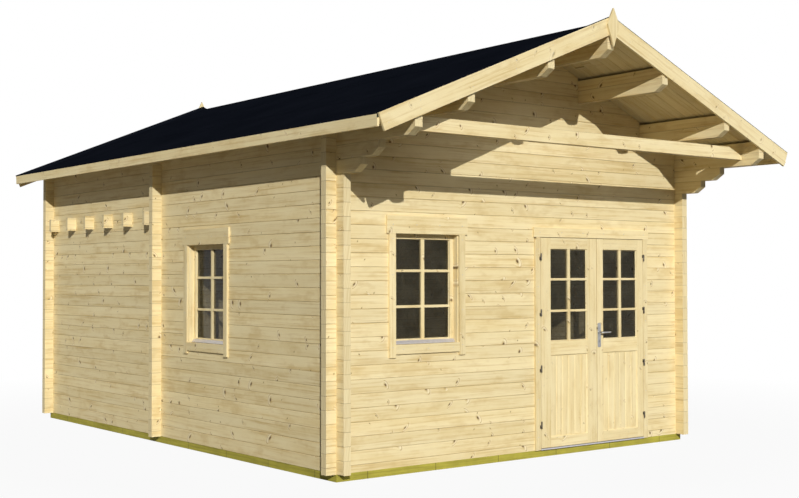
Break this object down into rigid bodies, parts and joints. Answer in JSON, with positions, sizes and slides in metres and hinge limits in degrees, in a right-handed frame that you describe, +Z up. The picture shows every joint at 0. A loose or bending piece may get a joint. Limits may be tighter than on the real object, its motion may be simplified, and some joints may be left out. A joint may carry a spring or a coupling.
{
  "type": "log cabin",
  "caption": "Log cabin with crossed log corners, a gabled canopy on stepped corbels, glazed double doors and casement windows.",
  "frame": {"origin": "centre of the footprint of the whole building, on the ground", "axes": "+Z up, +X to the right along the front wall, +Y from the front to the back"},
  "size_m": [4.898, 7.091, 3.8859],
  "materials": {
    "logs": "untreated spruce",
    "trim": "planed spruce",
    "treated": "green pressure treated",
    "felt": "bitumen roofing felt",
    "glass": "clear float glass",
    "steel": "galvanised and satin steel",
    "dark_steel": "dark plated steel"
  },
  "bodies": {
    "cabin": {"foundation_frame": "treated", "floor_boards": "trim", "left_wall": "logs", "right_wall": "logs", "left_corbels": "logs", "right_corbels": "logs", "left_eave_purlin": "logs", "right_eave_purlin": "logs", "low_purlins": "logs", "high_purlins": "logs", "ridge_purlin": "logs", "canopy_beam": "logs", "deck_joists": "logs", "front_wall_left": "logs", "front_wall_right": "logs", "front_wall_upper": "logs", "front_gable": "logs", "rear_wall": "logs", "rear_gable": "logs", "cross_wall_left": "logs", "cross_wall_right": "logs", "cross_wall_upper": "logs", "left_roof_boards": "trim", "right_roof_boards": "trim", "left_roof_felt": "felt", "right_roof_felt": "felt", "front_barge_boards": "trim", "rear_barge_boards": "trim", "eave_fascias": "trim", "finials": "trim", "window_frames": "trim", "window_sashes": "trim", "window_glass": "glass", "window_casings": "trim", "door_frame": "trim", "door_casing": "trim", "door_threshold": "steel", "frame_hinges": "dark_steel"},
    "left_door": {"left_door_leaf": "trim", "left_door_glass": "glass", "left_door_hinges": "dark_steel"},
    "right_door": {"right_door_leaf": "trim", "right_door_glass": "glass", "right_door_hinges": "dark_steel", "lock_plates": "steel"},
    "lever": {"door_lever": "steel"}
  },
  "joints": [
    {"name": "left_door_hinge", "type": "hinge", "parent": "cabin", "child": "left_door", "pos_m": [0.1435, -2.5215, 1], "axis": [0, 0, -1], "range_deg": [0, 150]},
    {"name": "right_door_hinge", "type": "hinge", "parent": "cabin", "child": "right_door", "pos_m": [1.5325, -2.5215, 1], "axis": [0, 0, 1], "range_deg": [0, 150]},
    {"name": "lever_turn", "type": "hinge", "parent": "right_door", "child": "lever", "pos_m": [0.9085, -2.4905, 1.107], "axis": [0, 1, 0], "range_deg": [0, 45], "stiffness_Nm_per_rad": 1.5, "springref_deg": -20.05}
  ]
}
